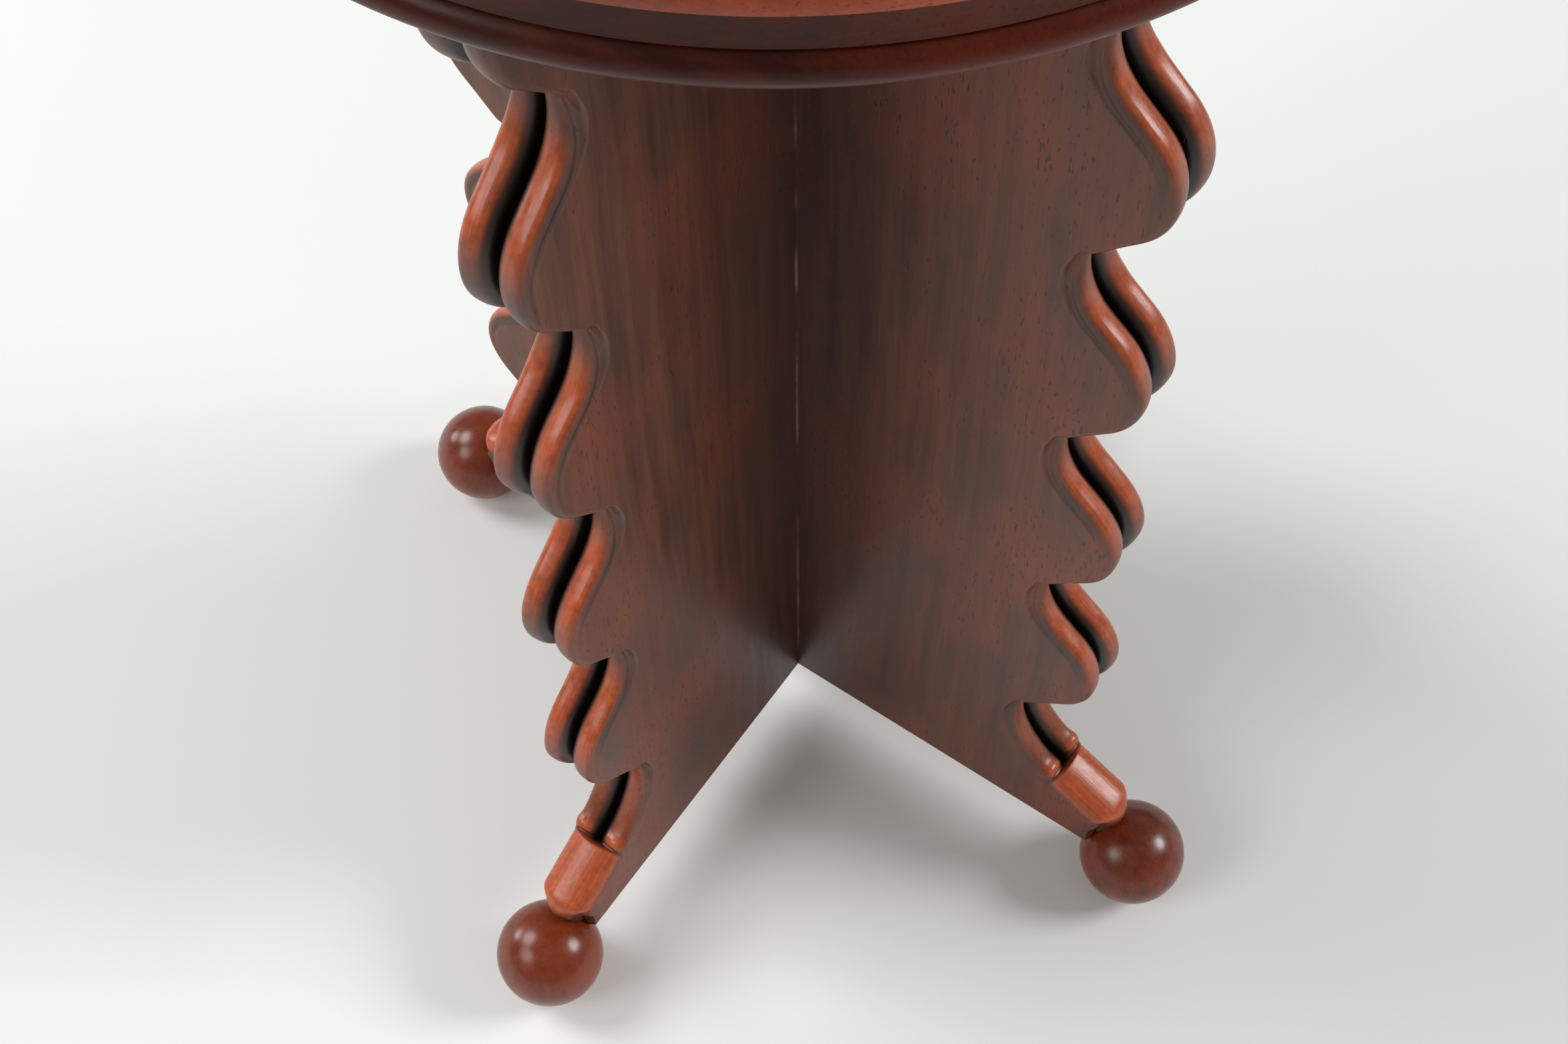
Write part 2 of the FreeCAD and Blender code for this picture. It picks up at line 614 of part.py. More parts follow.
top_dowel = top_dowel_bar("top_dowel", "0")
top_dowel_hole = top_dowel_bar("top_dowel_hole", "Sizes.fit_clearance")
top_dowel_holes = fuse(
    "top_dowel_holes",
    [turned_copy("top_dowel_hole_%d" % turn, top_dowel_hole, turn) for turn in TOP_DOWEL_TURNS],
)
tenon_hole = add(
    "Part::Cylinder",
    "tenon_hole",
    Radius="Sizes.tenon_diameter / 2 + Sizes.fit_clearance",
    Height="Sizes.bearer_thickness",
)
place(tenon_hole, z="Sizes.underside_height")
bearer_holes = [top_dowel_holes, tenon_hole]
for name, turn in WING_TURNS.items():
    for row_name, hole in zip(SCREW_PLACES, screw_holes):
        bearer_holes.append(turned_copy("bearer_hole_%s_%s" % (name, row_name), hole, turn))
bearer_room = fuse("bearer_room", bearer_holes)

# Pieces of the table, each named as its file
pieces = {
    "top_panel": cut("top_panel", panel_blank, top_dowel_holes),
    "bearer_disc": cut("bearer_disc", bearer_blank, bearer_room),
    "centre_post": centre_post,
    "top_dowels": fuse(
        "top_dowels", [turned_copy("top_dowel_%d" % turn, top_dowel, turn) for turn in TOP_DOWEL_TURNS]
    ),
}
screws = []
for name, turn in WING_TURNS.items():
    pieces[name + "_wing"] = turned_copy(name + "_wing", wing, turn)
    pieces[name + "_tongue"] = turned_copy(name + "_tongue", tongue, turn)
    pieces[name + "_ball_foot"] = turned_copy(name + "_ball_foot", ball_foot, turn)
    pieces[name + "_foot_dowel"] = turned_copy(name + "_foot_dowel", foot_dowel, turn)
    for row_name, master in zip(SCREW_PLACES, screw_masters):
        screws.append(turned_copy("screw_%s_%s" % (name, row_name), master, turn))
pieces["bearer_screws"] = fuse("bearer_screws", screws)
for name, piece in pieces.items():
    piece.Label = name

doc.recompute()

# Nothing is written unless every object was made and every piece is sound
for obj in doc.Objects:
    if "Invalid" in obj.State or "Error" in obj.State:
        raise RuntimeError("%s was not made: %s" % (obj.Label, obj.State))
for piece in pieces.values():
    if piece.Shape.isNull() or not piece.Shape.isValid():
        raise RuntimeError("%s is not a sound shape" % piece.Label)
    print("%-20s %2d solids %12.1f mm3" % (piece.Label, len(piece.Shape.Solids), piece.Shape.Volume))

os.makedirs("parts", exist_ok=True)
for piece in pieces.values():
    piece.Shape.exportStep("parts/%s.step" % piece.Label)
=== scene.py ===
import bpy
import numpy as np
from mathutils import Matrix


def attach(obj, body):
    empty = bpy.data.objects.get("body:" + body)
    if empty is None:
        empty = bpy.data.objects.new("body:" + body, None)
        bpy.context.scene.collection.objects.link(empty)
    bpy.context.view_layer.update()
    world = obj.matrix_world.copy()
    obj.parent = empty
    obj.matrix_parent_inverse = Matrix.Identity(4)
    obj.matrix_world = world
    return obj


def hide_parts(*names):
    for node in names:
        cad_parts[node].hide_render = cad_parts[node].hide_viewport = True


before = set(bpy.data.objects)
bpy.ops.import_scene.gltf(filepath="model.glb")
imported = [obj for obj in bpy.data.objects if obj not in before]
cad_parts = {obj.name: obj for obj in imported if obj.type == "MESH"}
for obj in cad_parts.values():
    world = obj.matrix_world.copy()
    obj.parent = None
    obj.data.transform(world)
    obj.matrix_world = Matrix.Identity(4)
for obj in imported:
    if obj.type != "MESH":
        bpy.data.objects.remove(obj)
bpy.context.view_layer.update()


# Centre post: a square bar of mahogany that the four wing boards are glued to. Only its lower end
# and the lines of its corners show. It is planed, stained with the rest and left plain.
MM = 0.001


def linear(code):
    """An sRGB hex colour as linear values, with full alpha.

    Each channel c becomes ((c + 0.055) / 1.055) to the power 2.4, or c / 12.92 if it is very dark.
    """
    channels = np.array([int(code[i:i + 2], 16) for i in (1, 3, 5)]) / 255
    low = channels / 12.92
    high = ((channels + 0.055) / 1.055) ** 2.4
    return (*np.where(channels <= 0.04045, low, high), 1.0)


def add_node(tree, kind, inputs, **settings):
    """Adds one shader node. inputs gives each socket a value or another node's output."""
    node = tree.nodes.new(kind)
    for name, value in settings.items():
        setattr(node, name, value)
    for socket, value in inputs.items():
        if isinstance(value, bpy.types.NodeSocket):
            tree.links.new(value, node.inputs[socket])
        else:
            node.inputs[socket].default_value = value
    return node


def cells(width, length):
    """Pattern scale per metre for a figure so many millimetres wide and so long up the grain."""
    return (1000 / width, 1000 / width, 1000 / length)


def stained_mahogany(
    name, deep, middle, warm, roughness, pore_share=0.7, carved=False, grain_turn=(0, 0, 0), shine=0.5,
):
    """Mahogany, planed or carved, stained red-brown and rubbed to a satin shine with a thin varnish.

    To the eye: soft streaks 5 mm wide up the grain, from the deep colour to the middle one, patches of
    the warm colour some 40 mm wide, fine fibres, and short dark pores. On carved work the rolls are
    rubbed back to orange with tool marks 0.9 mm wide; this is wear, and also painted light where it is
    kept to the lit flanks, knobs and pad. The bottoms of the grooves are dark-stained, painted shade
    darkens the grooves, the hollows, the creases and the faces towards the inner corners, and beads of
    pale glue 0.5 mm wide show in the inner corners in places.
    The grain is upright unless grain_turn turns it. shine is the strength of the varnish's reflections.
    """
    material = bpy.data.materials.new(name)
    material.use_nodes = True
    tree = material.node_tree
    shader = tree.nodes["Principled BSDF"]
    piece_place = add_node(tree, "ShaderNodeTexCoord", {}).outputs["Object"]
    place = add_node(
        tree, "ShaderNodeMapping", {"Vector": piece_place, "Rotation": grain_turn},
    ).outputs[0]

    wander_scale = add_node(tree, "ShaderNodeMapping", {"Vector": place, "Scale": cells(45, 160)})
    wander = add_node(
        tree, "ShaderNodeTexNoise", {"Vector": wander_scale.outputs[0], "Scale": 1.0, "Detail": 2.0},
    )
    grain = add_node(
        tree, "ShaderNodeVectorMath",
        {0: wander.outputs["Color"], 1: (8 * MM, 8 * MM, 0.0), 2: place}, operation="MULTIPLY_ADD",
    ).outputs[0]

    streak_scale = add_node(tree, "ShaderNodeMapping", {"Vector": grain, "Scale": cells(5, 130)})
    streaks = add_node(
        tree, "ShaderNodeTexNoise",
        {"Vector": streak_scale.outputs[0], "Scale": 1.0, "Detail": 4.0, "Roughness": 0.6},
    )
    fibre_scale = add_node(tree, "ShaderNodeMapping", {"Vector": grain, "Scale": cells(0.8, 22)})
    fibres = add_node(
        tree, "ShaderNodeTexNoise", {"Vector": fibre_scale.outputs[0], "Scale": 1.0, "Detail": 3.0},
    )
    patch_scale = add_node(tree, "ShaderNodeMapping", {"Vector": place, "Scale": cells(42, 75)})
    patches = add_node(
        tree, "ShaderNodeTexNoise", {"Vector": patch_scale.outputs[0], "Scale": 1.0, "Detail": 3.0},
    )
    pore_scale = add_node(
        tree, "ShaderNodeMapping",
        {"Vector": grain, "Rotation": (0.06, 0.06, 0.0), "Scale": cells(0.75, 3.4)},
    )
    pores = add_node(
        tree, "ShaderNodeTexNoise", {"Vector": pore_scale.outputs[0], "Scale": 1.0, "Detail": 0.5},
    )
    pore_fields = add_node(
        tree, "ShaderNodeMapRange",
        {"Value": patches.outputs[0], "From Min": 0.42, "From Max": 0.62, "To Min": 0.75, "To Max": 0.655},
    )
    pore_edge = add_node(
        tree, "ShaderNodeMath", {0: pores.outputs[0], 1: pore_fields.outputs[0]}, operation="SUBTRACT",
    )
    pore_marks = add_node(
        tree, "ShaderNodeMapRange", {"Value": pore_edge.outputs[0], "From Min": 0.0, "From Max": 0.04},
    ).outputs[0]

    streak_mix = add_node(
        tree, "ShaderNodeMapRange", {"Value": streaks.outputs[0], "From Min": 0.36, "From Max": 0.66},
    )
    body = add_node(
        tree, "ShaderNodeMix",
        {0: streak_mix.outputs[0], 6: linear(deep), 7: linear(middle)}, data_type="RGBA",
    )
    patch_mix = add_node(
        tree, "ShaderNodeMapRange",
        {"Value": patches.outputs[0], "From Min": 0.45, "From Max": 0.7, "To Max": 0.85},
    )
    reddened = add_node(
        tree, "ShaderNodeMix",
        {0: patch_mix.outputs[0], 6: body.outputs[2], 7: linear(warm)}, data_type="RGBA",
    )
    fibre_shade = add_node(
        tree, "ShaderNodeMapRange",
        {"Value": fibres.outputs[0], "From Min": 0.3, "From Max": 0.7, "To Min": 0.86, "To Max": 1.12},
    )
    colour = add_node(
        tree, "ShaderNodeVectorMath",
        {0: reddened.outputs[2], 1: fibre_shade.outputs[0]}, operation="MULTIPLY",
    ).outputs[0]
    pore_depth = add_node(
        tree, "ShaderNodeMath", {0: pore_marks, 1: pore_share}, operation="MULTIPLY",
    ).outputs[0]
    relief = add_node(
        tree, "ShaderNodeMath", {0: fibres.outputs[0], 1: 0.35}, operation="MULTIPLY",
    ).outputs[0]

    if carved:
        # A near-black brown: dark stain in the groove bottoms, and painted shade in the hollows, creases and
        # inner corners.
        stain_and_shade_colour = linear("#1e0e08")
        axes = add_node(tree, "ShaderNodeSeparateXYZ", {"Vector": place})
        across = add_node(tree, "ShaderNodeMath", {0: axes.outputs["X"]}, operation="ABSOLUTE")
        along = add_node(tree, "ShaderNodeMath", {0: axes.outputs["Y"]}, operation="ABSOLUTE")
        from_post = add_node(
            tree, "ShaderNodeMath", {0: across.outputs[0], 1: along.outputs[0]}, operation="MAXIMUM",
        )
        # Painted shade: the faces darken towards the inner corners, where the wings shade each other.
        painted_corner_shade = add_node(
            tree, "ShaderNodeMapRange",
            {"Value": from_post.outputs[0], "From Min": 12 * MM, "From Max": 62 * MM,
             "To Min": 0.64, "To Max": 0.0},
        )
        shaded = add_node(
            tree, "ShaderNodeMix",
            {0: painted_corner_shade.outputs[0], 6: colour, 7: stain_and_shade_colour}, data_type="RGBA",
        )
        corner = add_node(
            tree, "ShaderNodeMapRange",
            {"Value": from_post.outputs[0], "From Min": 10.8 * MM, "From Max": 11.3 * MM,
             "To Min": 0.8, "To Max": 0.0},
        )
        squeeze_scale = add_node(tree, "ShaderNodeMapping", {"Vector": place, "Scale": cells(60, 24)})
        squeeze = add_node(
            tree, "ShaderNodeTexNoise", {"Vector": squeeze_scale.outputs[0], "Scale": 1.0, "Detail": 5.0},
        )
        squeezed_out = add_node(
            tree, "ShaderNodeMapRange", {"Value": squeeze.outputs[0], "From Min": 0.45, "From Max": 0.7},
        )
        glue_share = add_node(
            tree, "ShaderNodeMath", {0: corner.outputs[0], 1: squeezed_out.outputs[0]}, operation="MULTIPLY",
        )
        glued = add_node(
            tree, "ShaderNodeMix",
            {0: glue_share.outputs[0], 6: shaded.outputs[2], 7: linear("#a98672")}, data_type="RGBA",
        )
        colour = glued.outputs[2]
        # rubbed gives orange that is wear and also painted light on the lit flanks, knobs and pad; groove
        # gives dark-stained groove bottoms and painted shade in the grooves, hollows and creases.
        rubbed = add_node(tree, "ShaderNodeAttribute", {}, attribute_name="rubbed").outputs["Fac"]
        stained = add_node(tree, "ShaderNodeAttribute", {}, attribute_name="groove").outputs["Fac"]
        tool_place = add_node(tree, "ShaderNodeUVMap", {}, uv_map="along_roll")
        tool_scale = add_node(
            tree, "ShaderNodeMapping",
            {"Vector": tool_place.outputs[0], "Scale": (1000 / 14, 1000 / 0.9, 1.0)},
        )
        tool_marks = add_node(
            tree, "ShaderNodeTexNoise", {"Vector": tool_scale.outputs[0], "Scale": 1.0, "Detail": 3.0},
        )
        speck_scale = add_node(tree, "ShaderNodeMapping", {"Vector": place, "Scale": cells(2.2, 3.2)})
        specks = add_node(
            tree, "ShaderNodeTexNoise", {"Vector": speck_scale.outputs[0], "Scale": 1.0, "Detail": 3.0},
        )
        worn = add_node(
            tree, "ShaderNodeMapRange",
            {"Value": specks.outputs[0], "From Min": 0.35, "From Max": 0.65, "To Min": 0.62, "To Max": 1.0},
        )
        rub_share = add_node(tree, "ShaderNodeMath", {0: rubbed, 1: worn.outputs[0]}, operation="MULTIPLY")
        rub_colour = add_node(
            tree, "ShaderNodeMix",
            {0: tool_marks.outputs[0], 6: linear("#98331a"), 7: linear("#e07040")}, data_type="RGBA",
        )
        orange = add_node(
            tree, "ShaderNodeMix",
            {0: rub_share.outputs[0], 6: colour, 7: rub_colour.outputs[2]}, data_type="RGBA",
        )
        dark = add_node(
            tree, "ShaderNodeMix",
            {0: stained, 6: orange.outputs[2], 7: stain_and_shade_colour}, data_type="RGBA",
        )
        colour = dark.outputs[2]
        plain = add_node(tree, "ShaderNodeMath", {0: 1.0, 1: rubbed}, operation="SUBTRACT")
        pore_depth = add_node(
            tree, "ShaderNodeMath", {0: pore_depth, 1: plain.outputs[0]}, operation="MULTIPLY",
        ).outputs[0]
        tool_relief = add_node(
            tree, "ShaderNodeMath", {0: tool_marks.outputs[0], 1: rubbed}, operation="MULTIPLY",
        )
        relief = add_node(
            tree, "ShaderNodeMath", {0: tool_relief.outputs[0], 1: 0.8, 2: relief}, operation="MULTIPLY_ADD",
        ).outputs[0]

    pored = add_node(
        tree, "ShaderNodeMix", {0: pore_depth, 6: colour, 7: linear("#1d0e09")}, data_type="RGBA",
    )
    tree.links.new(pored.outputs[2], shader.inputs["Base Color"])
    gloss = add_node(
        tree, "ShaderNodeMapRange",
        {"Value": streaks.outputs[0], "From Min": 0.3, "From Max": 0.7,
         "To Min": roughness - 0.05, "To Max": roughness + 0.06},
    )
    polish = gloss.outputs[0]
    if carved:
        polish = add_node(
            tree, "ShaderNodeMath", {0: rubbed, 1: -0.12, 2: polish}, operation="MULTIPLY_ADD",
        ).outputs[0]
    tree.links.new(polish, shader.inputs["Roughness"])
    height = add_node(
        tree, "ShaderNodeMath", {0: relief, 1: pore_depth}, operation="SUBTRACT",
    )
    bump = add_node(
        tree, "ShaderNodeBump", {"Height": height.outputs[0], "Strength": 0.5, "Distance": 0.12 * MM},
    )
    tree.links.new(bump.outputs[0], shader.inputs["Normal"])
    shader.inputs["IOR"].default_value = 1.5
    shader.inputs["Specular IOR Level"].default_value = shine
    return material


def dress(node_name, material):
    """Gives a CAD node this finish alone."""
    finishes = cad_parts[node_name].data.materials
    finishes.clear()
    finishes.append(material)


planed_mahogany = stained_mahogany("stained_planed_mahogany", "#4c2210", "#70371c", "#853617", 0.44)
dress("centre_post", planed_mahogany)


# Tongues: loose strips of pale wood let into the post and the wings and glued. They are out of sight
# and left unstained.
def flecked_material(name, fleck, detail, dark, light, roughness, metallic=0.0):
    """A material of two close tones in soft flecks, whose width and length are given in millimetres."""
    material = bpy.data.materials.new(name)
    material.use_nodes = True
    tree = material.node_tree
    shader = tree.nodes["Principled BSDF"]
    place = add_node(tree, "ShaderNodeTexCoord", {})
    scale = add_node(
        tree, "ShaderNodeMapping", {"Vector": place.outputs["Object"], "Scale": cells(*fleck)},
    )
    flecks = add_node(
        tree, "ShaderNodeTexNoise", {"Vector": scale.outputs[0], "Scale": 1.0, "Detail": detail},
    )
    colour = add_node(
        tree, "ShaderNodeMix",
        {0: flecks.outputs[0], 6: linear(dark), 7: linear(light)}, data_type="RGBA",
    )
    tree.links.new(colour.outputs[2], shader.inputs["Base Color"])
    shader.inputs["Roughness"].default_value = roughness
    shader.inputs["Metallic"].default_value = metallic
    return material


# Planed beech without stain is pale and matt, with fine darker flecks along the grain.
bare_beech = flecked_material("bare_planed_beech", (0.5, 4), 3.0, "#a5805a", "#cfac80", 0.7)
sides = {"front": (0, -1), "right": (1, 0), "rear": (0, 1), "left": (-1, 0)}
for side in sides:
    dress(side + "_tongue", bare_beech)


# Wings: four mahogany boards in a cross, glued to the post. Each outer edge is cut to a stack of five
# scrolls and an instep, then carved into two rolls with a deep groove between them, scooped beside the
# rolls, and ended in a smooth pad and a neck at the toe.

# Sizes of the board and its outer edge, in millimetres.
HALF_BOARD = 10.5
BOARD_TOP = 524.0
BOARD_FOOT = 29.0
SCROLLS = 5
PITCH = 85.2
LOBE_HEIGHT = 116.1
LOBE_REACH = 131.4
FLARE = 3.1
LOBE_RADIUS = 27.0
NECK_DEPTH = 25.5
NECK_LENGTH = 11.9
HOLLOW_RADIUS = 26.5
UNDERSIDE = np.radians(46)
FOOT_NECK = 106.0
INSTEP_RADIUS = 40.0
INSTEP_HEIGHT = 97.5
INSTEP_TURN = np.radians(62)
INSTEP_SLOPE = np.pi / 2 - INSTEP_TURN
PAD_RUN = 23.0
PAD_ROUND = 8.0
FOOT_NOTCH = 107.7
KNOB_PLACE = FOOT_NOTCH - INSTEP_HEIGHT + INSTEP_RADIUS * INSTEP_TURN - 3.0
TOE_NECK = (149.5, 38.5)
ARC_STEP = 0.4
EDGE_STEP = 0.25
RASP_SPREAD = 1.1
ROW_STEP = 1.0
FINE_ROW_STEP = 0.45
FINE_ROW_LEAD = 12.0


def arc(centre, radius, start, finish):
    """Points 0.4 mm apart on a circle: the centre plus the radius times cosine and sine of the turn."""
    turn = np.linspace(start, finish, int(abs(finish - start) * radius / ARC_STEP) + 2)
    return np.stack([centre[0] + radius * np.cos(turn), centre[1] + radius * np.sin(turn)], axis=1)


def softened(values, spread, reach):
    """A bell-shaped average along a line of values, with spread and reach in steps and the ends held."""
    bell = np.exp(-0.5 * (np.arange(-reach, reach + 1) / spread) ** 2)
    return np.convolve(np.pad(values, reach, mode="edge"), bell / bell.sum(), mode="valid")


def wing_edge():
    """Outer edge of a wing, from the top down to the toe, in its own plane as distance out and height.

    Each scroll is a straight neck, a hollow arc, the line that touches both arcs, a round lobe and a
    line that slopes in and down to the next neck. The foot is a neck, an instep arc, a straight run, a
    rounded end and a short neck. The joined line is softened by a bell-shaped average about 2 mm wide,
    as a rasp leaves it. The second result is each point's length along the line before it was softened,
    and the third is that length where each scroll, and then the foot, begins.
    """
    between = np.array([HOLLOW_RADIUS - NECK_DEPTH + LOBE_RADIUS, PITCH - NECK_LENGTH - LOBE_RADIUS])
    straight = np.sqrt(between @ between - (HOLLOW_RADIUS + LOBE_RADIUS) ** 2)
    slope = np.arctan2(between[1], between[0]) - np.arctan2(straight, HOLLOW_RADIUS + LOBE_RADIUS)
    runs = []
    notch = np.array([(LOBE_REACH - FLARE * (SCROLLS - 1) - NECK_DEPTH, LOBE_HEIGHT + PITCH * SCROLLS)])
    for level in range(SCROLLS - 1, -1, -1):
        reach = LOBE_REACH - FLARE * level
        bottom = LOBE_HEIGHT + PITCH * level
        neck = reach - NECK_DEPTH
        following = reach + FLARE - NECK_DEPTH if level else FOOT_NECK
        lobe_centre = (reach - LOBE_RADIUS, bottom + LOBE_RADIUS)
        hollow_centre = (neck + HOLLOW_RADIUS, bottom + PITCH - NECK_LENGTH)
        hollow = arc(hollow_centre, HOLLOW_RADIUS, np.pi, np.pi + slope)
        lobe = arc(lobe_centre, LOBE_RADIUS, slope, UNDERSIDE - np.pi / 2)
        drop = (lobe[-1, 0] - following) * np.tan(UNDERSIDE)
        runs.append(np.concatenate([notch, hollow, lobe]))
        notch = np.array([(following, lobe[-1, 1] - drop)])
    heading = np.array([np.sin(INSTEP_TURN), -np.cos(INSTEP_TURN)])
    inward = np.array([heading[1], -heading[0]])
    instep = arc((FOOT_NECK + INSTEP_RADIUS, INSTEP_HEIGHT), INSTEP_RADIUS, np.pi, np.pi + INSTEP_TURN)
    run_end = instep[-1] + PAD_RUN * heading
    pad_end = arc(run_end + PAD_ROUND * inward, PAD_ROUND, np.pi / 2 - INSTEP_SLOPE, -np.pi / 5)
    runs.append(np.concatenate([
        notch, instep, [run_end], pad_end, [TOE_NECK, (TOE_NECK[0], BOARD_FOOT)],
    ]))
    line = np.concatenate(runs)
    length = np.concatenate([[0], np.cumsum(np.linalg.norm(np.diff(line, axis=0), axis=1))])
    begins = length[np.cumsum([0] + [len(run) for run in runs[:-1]])]
    fine = np.arange(0, length[-1], EDGE_STEP)
    even = [np.interp(fine, length, line[:, axis]) for axis in (0, 1)]
    soft = np.stack([softened(values, RASP_SPREAD / EDGE_STEP, 16) for values in even], axis=1)
    start = fine[np.argmax(soft[:, 1] <= BOARD_TOP)]
    knobs = begins[-1] + KNOB_PLACE - FINE_ROW_LEAD
    stations = np.concatenate([
        np.arange(start, knobs, ROW_STEP), np.arange(knobs, fine[-1], FINE_ROW_STEP), fine[-1:],
    ])
    edge = np.stack([np.interp(stations, fine, soft[:, axis]) for axis in (0, 1)], axis=1)
    return edge, stations, begins


def smooth_step(value, low, high):
    """0 below low, 1 above high and 3t squared less 2t cubed between."""
    t = np.clip((value - low) / (high - low), 0, 1)
    return t * t * (3 - 2 * t)


# Sizes of the carved section, in millimetres, and shares of painted shade in the hollows and creases.
ROLL_RADIUS = 4.4
ROLL_INSET = 0.25
ROLL_NARROWING = 3.8
GROOVE_HALF = 0.9
CREST_SHARE = 0.69
CROWN_POWER = 1.15
UNDERCUT = np.radians(11)
WOBBLE = 0.14
KNOB_LEAD = 3.4
KNOB_SPREAD = 2.2
KNOB_RISE = 0.9
KNOB_SWELL = 0.5
CREASE_SPREAD = 0.9
CREASE_DEPTH = 1.7
PAD_HALF = 10.4
PAD_NARROWING = 4.4
PAD_HEIGHT = 6.8
PAD_LOWERING = 1.8
PAD_PROUD = 1.0
PAD_POWER = 2 / 2.35
SHOULDER_DROP = 1.6
SHOULDER_POINTS = 6
FACE_LIFT = 0.3
HOLLOW_SHADE = 0.62
CREASE_SHADE = 0.5


def wing_surface():
    """Half of one wing as a grid, its section carried along the outer edge from the top to the toe.

    The section, from its middle: up the groove, over a roll as an ellipse with a flattened crown, down
    its side, through a hollow as a cubic curve, and flat along the face to the post. Down each scroll
    the hollow grows narrow and shallow, and under the lobe the roll is flush with the face. On the toe
    the rolls end in knobs and give way to one pad, a super-ellipse across. Also gives two shares for
    the finish, and each point's lengths along and across. The first share is how far the wood is
    rubbed back to orange, which is wear and also painted light on the lit flanks, knobs and pad. The
    second is how dark it is: dark-stained groove bottoms, and painted shade in the grooves, hollows,
    creases and at the toe.
    """
    edge, place, begins = wing_edge()
    ahead = np.gradient(edge, place, axis=0)
    inward = np.stack([ahead[:, 1], -ahead[:, 0]], axis=1)
    # The first and last sections lie level, so that both ends of the board are flat.
    inward[:, 1] *= smooth_step(place, place[0], place[0] + 14)
    inward[:, 1] *= 1 - smooth_step(place, place[-1] - 8, place[-1] - 3)
    inward = inward / np.linalg.norm(inward, axis=1)[:, None]

    number = np.clip(np.searchsorted(begins, place, side="right") - 1, 0, SCROLLS)
    ends = np.append(begins[1:], place[-1])
    share = (place - begins[number]) / (ends - begins)[number]
    foot = np.where(number == SCROLLS, place - begins[-1], 0)
    # At shares of a scroll's length: how far the hollow is cut, its reach past the roll in mm, how round
    # its lip is, how far the roll narrows, and the drop of the roll's outer side in mm.
    hollow = np.interp(
        share, [0, 0.03, 0.35, 0.5, 0.6, 0.72, 0.85, 0.95, 1],
        [0.7, 1.0, 1.0, 0.7, 0.35, 0.08, 0.0, 0.0, 0.7],
    )
    reach = np.interp(
        share, [0, 0.03, 0.08, 0.13, 0.17, 0.3, 0.7, 0.9, 1],
        [1.0, 1.8, 2.7, 3.3, 3.4, 2.6, 2.2, 0.9, 1.0],
    )
    lip = np.interp(share, [0.1, 0.3], [0.09, 0.02])[:, None]
    taper = np.interp(
        share, [0, 0.03, 0.08, 0.15, 0.22, 0.97, 1], [1.0, 0.95, 0.65, 0.25, 0.0, 0.0, 1.0],
    )
    round_depth = np.interp(
        share, [0, 0.02, 0.05, 0.08, 0.13, 0.17, 0.5, 0.65, 0.85, 0.95, 1],
        [0.8, 0.9, 1.5, 2.1, 2.7, 3.1, 3.1, 2.9, 2.5, 1.6, 0.8],
    )
    # The same on the foot, at millimetres from its notch.
    foot_hollow = np.interp(foot, [0, 4, 18, 35, KNOB_PLACE + 4], [0.7, 0.95, 0.9, 0.45, 0.3])
    foot_reach = np.interp(foot, [0, 4, 10, 25, KNOB_PLACE + 4], [0.8, 1.6, 2.6, 1.6, 0.8])
    foot_taper = np.interp(foot, [0, 3, 8, 16], [1.0, 0.9, 0.5, 0.0])
    foot_round = np.interp(foot, [0, 5, 9, 15], [0.8, 1.6, 2.4, 3.1])
    hollow = np.where(number == SCROLLS, foot_hollow, hollow)
    reach = np.where(number == SCROLLS, foot_reach, reach)
    taper = np.where(number == SCROLLS, foot_taper, taper)
    round_depth = np.where(number == SCROLLS, foot_round, round_depth)
    hollow, reach, taper, round_depth = [
        softened(values, 2.0, 6)[:, None] for values in (hollow, reach, taper, round_depth)
    ]

    count = len(edge)
    groove_depth = np.tile(np.array([8.4, 8.2, 7.5, 6.5, 5.4]), (count, 1))
    groove_side = np.tile(GROOVE_HALF * np.array([0.0, 0.55, 0.85, 0.95, 0.98]), (count, 1))
    turn_end = np.pi / 2 + UNDERCUT * hollow
    turn = -np.pi / 2 + np.linspace(0, 1, 26) * (turn_end + np.pi / 2)
    outside = HALF_BOARD - (ROLL_INSET + ROLL_NARROWING * taper) * hollow
    roll_depth = np.where(turn > 0, round_depth, ROLL_RADIUS) * (1 - np.cos(turn)) ** CROWN_POWER
    crest = GROOVE_HALF + CREST_SHARE * (outside - GROOVE_HALF)
    roll_side = crest + np.where(turn > 0, outside - crest, crest - GROOVE_HALF) * np.sin(turn)
    wobble = WOBBLE * np.sin(place / 5.9 + 1.3) * np.sin(place / 9.7)
    knob = np.exp(-((foot - KNOB_PLACE + KNOB_LEAD) / KNOB_SPREAD) ** 2)
    crease = np.exp(-((foot - KNOB_PLACE) / CREASE_SPREAD) ** 2)
    uneven = wobble - KNOB_RISE * knob + CREASE_DEPTH * crease
    roll_depth = roll_depth + uneven[:, None] * np.cos(turn / 2) ** 2
    roll_side = roll_side + KNOB_SWELL * knob[:, None] * smooth_step(np.sin(turn), 0.2, 1.0)

    last_depth = roll_depth[:, -1:]
    last_side = roll_side[:, -1:]
    rim_depth = last_depth + reach
    pull = (0.2 + 0.45 * hollow) * reach
    t = np.linspace(0, 1, 15)[1:]
    weights = (1 - t) ** 3, 3 * t * (1 - t) ** 2, 3 * t ** 2 * (1 - t), t ** 3
    hollow_depth = (
        weights[0] * last_depth + weights[1] * (last_depth + pull * np.sin(turn_end))
        + weights[2] * (rim_depth - 0.45 * reach) + weights[3] * rim_depth
    )
    hollow_side = (
        weights[0] * last_side + weights[1] * (last_side + pull * np.cos(turn_end))
        + weights[2] * (HALF_BOARD - lip * reach) + weights[3] * HALF_BOARD
    )
    depth = np.concatenate([groove_depth, roll_depth, hollow_depth], axis=1)
    side = np.concatenate([groove_side, roll_side, hollow_side], axis=1)

